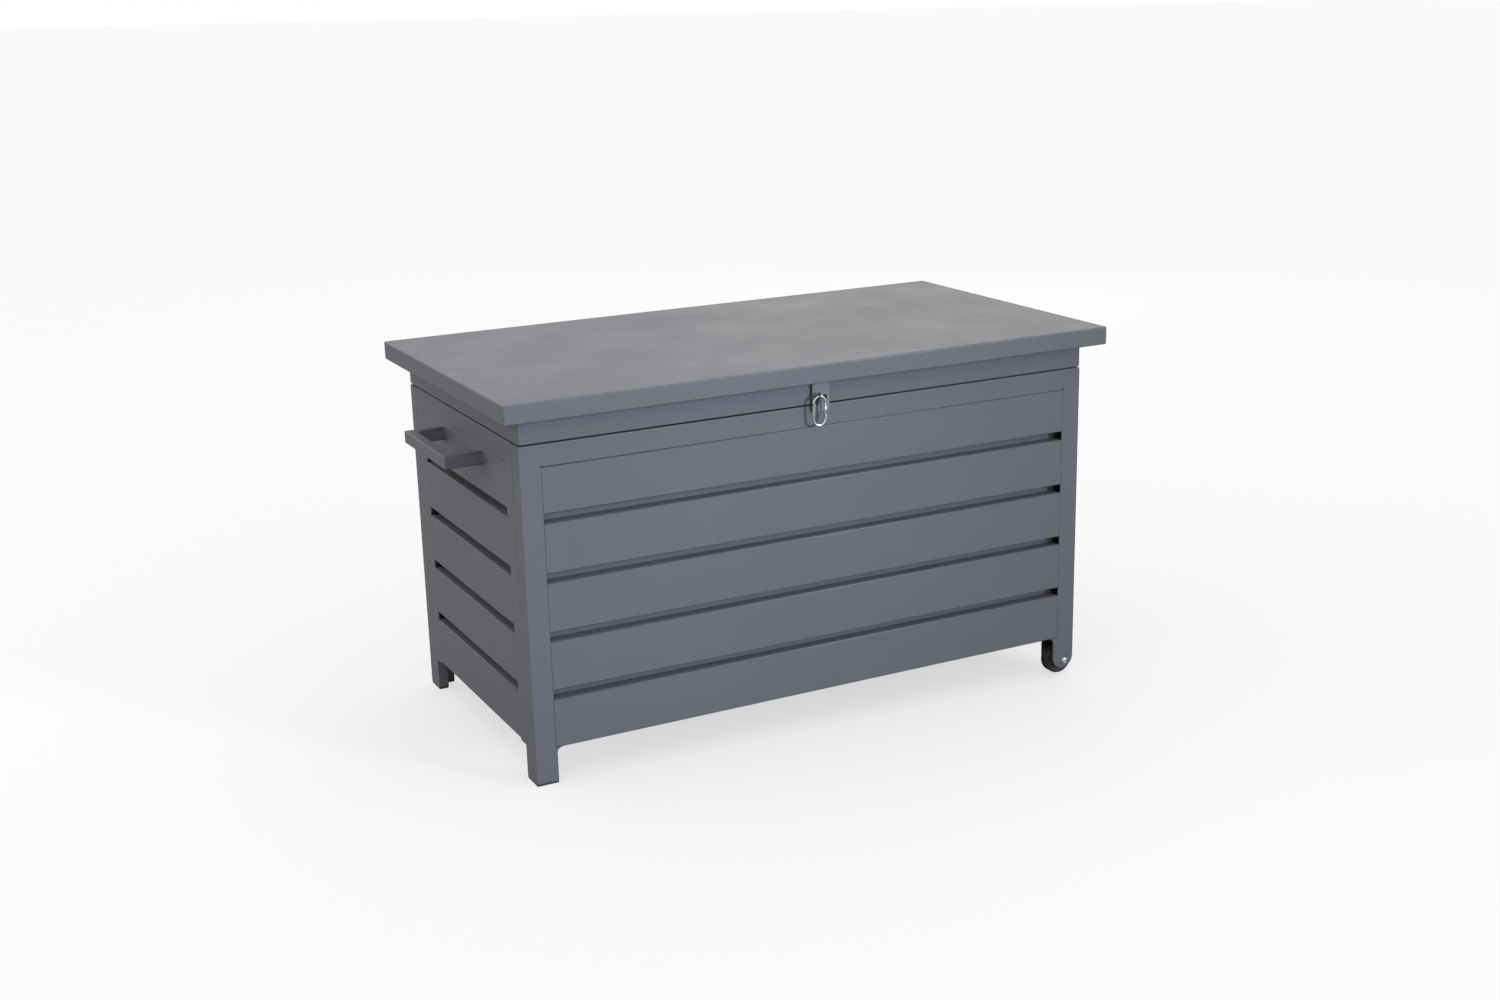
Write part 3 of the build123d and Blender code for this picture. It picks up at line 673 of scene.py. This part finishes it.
def hexCup(radius, depth, rim, place, axis):
    # a hexagonal socket: a ring of 24 points drawn in to a hexagon and pushed down
    bm = bmesh.new()
    ring = bmesh.ops.create_circle(bm, cap_ends=False, segments=24, radius=rim)
    edges = list({edge for vert in ring["verts"] for edge in vert.link_edges})
    for drop in (0, depth):
        made = bmesh.ops.extrude_edge_only(bm, edges=edges)["geom"]
        edges = [item for item in made if isinstance(item, bmesh.types.BMEdge)]
        for vert in [item for item in made if isinstance(item, bmesh.types.BMVert)]:
            angle = math.atan2(vert.co.y, vert.co.x) % math.radians(60) - math.radians(30)
            reach = radius * math.cos(math.radians(30)) / math.cos(angle)
            vert.co = vert.co.normalized() * reach if drop == 0 else vert.co - Vector((0, 0, drop))
    bmesh.ops.contextual_create(bm, geom=edges)
    bmesh.ops.recalc_face_normals(bm, faces=bm.faces)
    if sum(face.normal.z * face.calc_area() for face in bm.faces) < 0:
        bmesh.ops.reverse_faces(bm, faces=bm.faces)
    place = Matrix.Translation(place) @ Vector(axis).to_track_quat("Z", "Y").to_matrix().to_4x4()
    bmesh.ops.transform(bm, matrix=place, verts=bm.verts)
    return bm


def makeBolts():
    tyreLow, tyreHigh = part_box("front_tyre")
    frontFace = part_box("front_frame")[0].y
    axle = (tyreLow + tyreHigh) / 2
    rise, head, edge = boltLook["rise"], boltLook["head"], boltLook["rim"]
    shankRadius, length, tip = boltLook["shank"], boltLook["length"], boltLook["tip"]
    parts = []
    for sign in (-1, 1):
        outward = Vector((0, sign, 0))
        face = Vector((axle.x, abs(frontFace) * sign, axle.z))
        rim = boltLook["socket"] * 1.12  # a little outside the hexagon's corners
        dome = [(head, 0), (head, edge)]
        for step in range(1, 8):
            turn = math.radians(step * 90 / 8)
            dome.append((rim + (head - rim) * math.cos(turn), edge + (rise - edge) * math.sin(turn)))
        dome.append((rim, rise))
        parts.append(turnedMesh(dome, face, outward, 48))
        parts.append(hexCup(boltLook["socket"], boltLook["depth"], rim, face + outward * rise, outward))
        shank = [(shankRadius, mm(0.2)), (shankRadius, mm(1) - length), (tip, -length), (0, -length)]
        parts.append(turnedMesh(shank, face, outward, 32))
        nut = bmesh.new()
        bmesh.ops.create_cone(nut, cap_ends=True, segments=6, radius1=boltLook["nut"], radius2=boltLook["nut"],
                              depth=boltLook["nutThick"],
                              matrix=Matrix.Translation((0, 0, -boltLook["nutThick"] / 2)))
        roundEdges(nut, sharpEdges(nut, 70), mm(0.5), 2)
        turn = outward.to_track_quat("Z", "Y").to_matrix().to_4x4()
        place = Matrix.Translation(face - outward * boltLook["nutFrom"])
        bmesh.ops.transform(nut, matrix=place @ turn, verts=nut.verts)
        parts.append(nut)
    addPiece("wheelBolts", join(parts), "box", ["wheel_bolts_and_nuts"], "bright_steel")


# Foot caps, hinges, struts and small fittings

capLook = {"arm": mm(20), "edge": mm(1.6), "rise": mm(5), "plug": mm(2.4), "plugIn": mm(5.3),
           "plugTop": mm(18)}


def makeFootCaps():
    low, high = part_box("foot_caps")
    legX = high.x
    arm = capLook["arm"]
    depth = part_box("front_left_post")[1].y - low.y
    points = [(low.x, low.y, low.z), (legX, low.y, low.z), (legX, low.y + arm, low.z),
              (low.x + arm, low.y + arm, low.z), (low.x + arm, low.y + depth, low.z),
              (low.x, low.y + depth, low.z)]
    cap = outlineMesh(points, capLook["rise"])
    roundEdges(cap, sharpEdges(cap), capLook["edge"], 4)
    plugIn, short = capLook["plugIn"], capLook["plug"]
    plug = cubeMesh((low.x + plugIn, low.y + plugIn, low.z + mm(4)),
                    (low.x + arm - short, low.y + depth - short, low.z + capLook["plugTop"]))
    roundEdges(plug, plug.edges[:], mm(1), 2)
    bm = join([cap, plug])
    both = join([mirrored(bm, "Y"), bm])
    addPiece("footCaps", both, "box", ["foot_caps"], "black_plastic", "capPlastic")


hingeLook = {"edge": mm(0.6), "screw": mm(4), "inset": mm(9), "spread": mm(23), "halfLeaf": mm(36.8),
             "leafOut": mm(2), "stagger": mm(5)}


def screwHead(place, outward):
    # a plain domed head
    radius = hingeLook["screw"]
    dome = [(0, mm(1.6)), (radius * 0.45, mm(1.5)), (radius * 0.8, mm(1.05)), (radius, mm(0.3)), (radius, 0)]
    return turnedMesh(dome, place, outward, 24)


def makeHinges():
    for node, name, body in (("hinge_body_leaves", "hingeBodyLeaves", "box"),
                             ("hinge_lid_leaves", "hingeLidLeaves", "lid")):
        bm = cadCopy(node)
        roundEdges(bm, sharpEdges(bm, 70), hingeLook["edge"], 2)
        addPiece(name, bm, body, [node])
        low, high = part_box(node)
        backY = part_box("back_frame")[1].y + hingeLook["leafOut"]
        z = low.z + hingeLook["inset"] if body == "box" else high.z - hingeLook["inset"]
        left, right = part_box("hinge_pins")
        middle = (left.x + right.x) / 2
        span = (right.x - left.x) / 2 - hingeLook["halfLeaf"]
        heads = []
        for place in (-1, 0, 1):
            for step in (-1, 0, 1):
                x = middle + place * span + step * hingeLook["spread"]
                raised = hingeLook["stagger"] if step == 0 else 0  # the middle screw sits higher
                heads.append(screwHead((x, backY, z + raised), (0, 1, 0)))
        addPiece(name + "Screws", join(heads), body, slot="bright_steel")
    print("hinges made")


strutLook = {"tube": mm(7.5), "rod": mm(4), "eye": mm(8), "bore": mm(4.05), "width": mm(6), "length": mm(180),
             "stroke": mm(80), "hidden": mm(60)}  # hidden: the rod kept inside the tube when drawn out


def eyeRing(place, along):
    half = strutLook["width"] / 2
    eye, bore = strutLook["eye"], strutLook["bore"]
    profile = [(bore, -half), (eye - mm(0.6), -half), (eye, -half + mm(0.6)), (eye, half - mm(0.6)),
               (eye - mm(0.6), half), (bore, half), (bore, -half)]
    return turnedMesh(profile, place, (1, 0, 0), 40)


def makeStruts():
    for side in ("left", "right"):
        foot = Vector(joints[f"{side}_strut_pivot"]["pos_m"])
        along = Vector(joints[f"{side}_strut_slide"]["axis"]).normalized()
        tube, rod = strutLook["tube"], strutLook["rod"]
        end = strutLook["length"] - strutLook["stroke"] + strutLook["eye"] + mm(3)
        begin = strutLook["eye"] + mm(3)
        body = [(0, begin), (tube - mm(2.2), begin), (tube - mm(0.6), begin + mm(0.6)), (tube, begin + mm(2)),
                (tube, end - mm(9)), (tube - mm(0.5), end - mm(8.4)), (tube - mm(0.5), end - mm(7.4)),
                (tube, end - mm(6.8)), (tube, end - mm(2)), (tube - mm(0.8), end - mm(0.5)), (tube - mm(2), end),
                (rod + mm(0.3), end), (rod + mm(0.3), end - mm(3)), (0, end - mm(3))]
        neck = [(0, mm(6)), (mm(3.6), mm(6)), (mm(3.6), begin), (mm(5), begin + mm(0.4)), (0, begin + mm(0.4))]
        parts = [turnedMesh(body, foot, along, 48), turnedMesh(neck, foot, along, 32), eyeRing(foot, along)]
        node = f"{side}_strut_cylinder"
        addPiece(f"{side}StrutCylinder", join(parts), node, [node], "strut_black")
        head = foot + along * strutLook["length"]
        low = strutLook["eye"] - strutLook["stroke"] - strutLook["hidden"]
        shaft = [(0, low), (rod - mm(0.4), low), (rod, low + mm(0.4)), (rod, -strutLook["eye"] - mm(4)),
                 (mm(4.9), -strutLook["eye"] - mm(3.6)), (mm(4.9), -mm(6)), (0, -mm(6))]
        parts = [turnedMesh(shaft, head, along, 40), eyeRing(head, along)]
        node = f"{side}_strut_rod"
        addPiece(f"{side}StrutRod", join(parts), node, [node], "bright_steel")


bumperLook = {"radius": mm(6), "steps": 32}


def makeBumpers():
    low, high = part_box("rim_bumpers")
    radius = bumperLook["radius"]
    rise = high.z - low.z
    profile = [(0, rise), (radius * 0.7, rise), (radius * 0.92, rise * 0.75), (radius, rise * 0.4),
               (radius, 0), (0, 0)]
    parts = []
    for x in (low.x + radius, high.x - radius):
        for y in (low.y + radius, high.y - radius):
            parts.append(turnedMesh(profile, (x, y, low.z), upward, bumperLook["steps"]))
    addPiece("rimBumpers", join(parts), "box", ["rim_bumpers"], "rubber")


def softenFittings():
    # plain brackets keep their shape and get broken edges
    for node, name, body, slot, finish in (
            ("strut_foot_brackets", "strutFootBrackets", "box", "bright_steel", None),
            ("strut_head_brackets", "strutHeadBrackets", "lid", "bright_steel", None),
            # the wheel brackets are powder coat but take the near-black finish: painted shade for the bracket
            # sitting in shadow behind the wheel
            ("wheel_brackets", "wheelBrackets", "box", "powder_coat", "blackPlasticAndPaintedShade"),
            ("wheel_spacers", "wheelSpacers", "box", "bright_steel", None)):
        bm = cadCopy(node)
        roundEdges(bm, sharpEdges(bm, 70), mm(0.4), 2)
        addPiece(name, bm, body, [node], slot, finish)


makeCamera()
makeFloor()
makeLights()
paintCadNodes()
print("camera, floor, lights and plain finishes ready")
makeFrames()
makeSlats()
print("frames, posts and slats made")
makeLid()
makeHandles()
print("lid and handles made")
makeHasp()
makeCarabiner()
print("hasp and carabiner made")
makeWheels()
makeBolts()
print("wheels made")
makeFootCaps()
makeHinges()
makeStruts()
makeBumpers()
softenFittings()
print("fittings made")
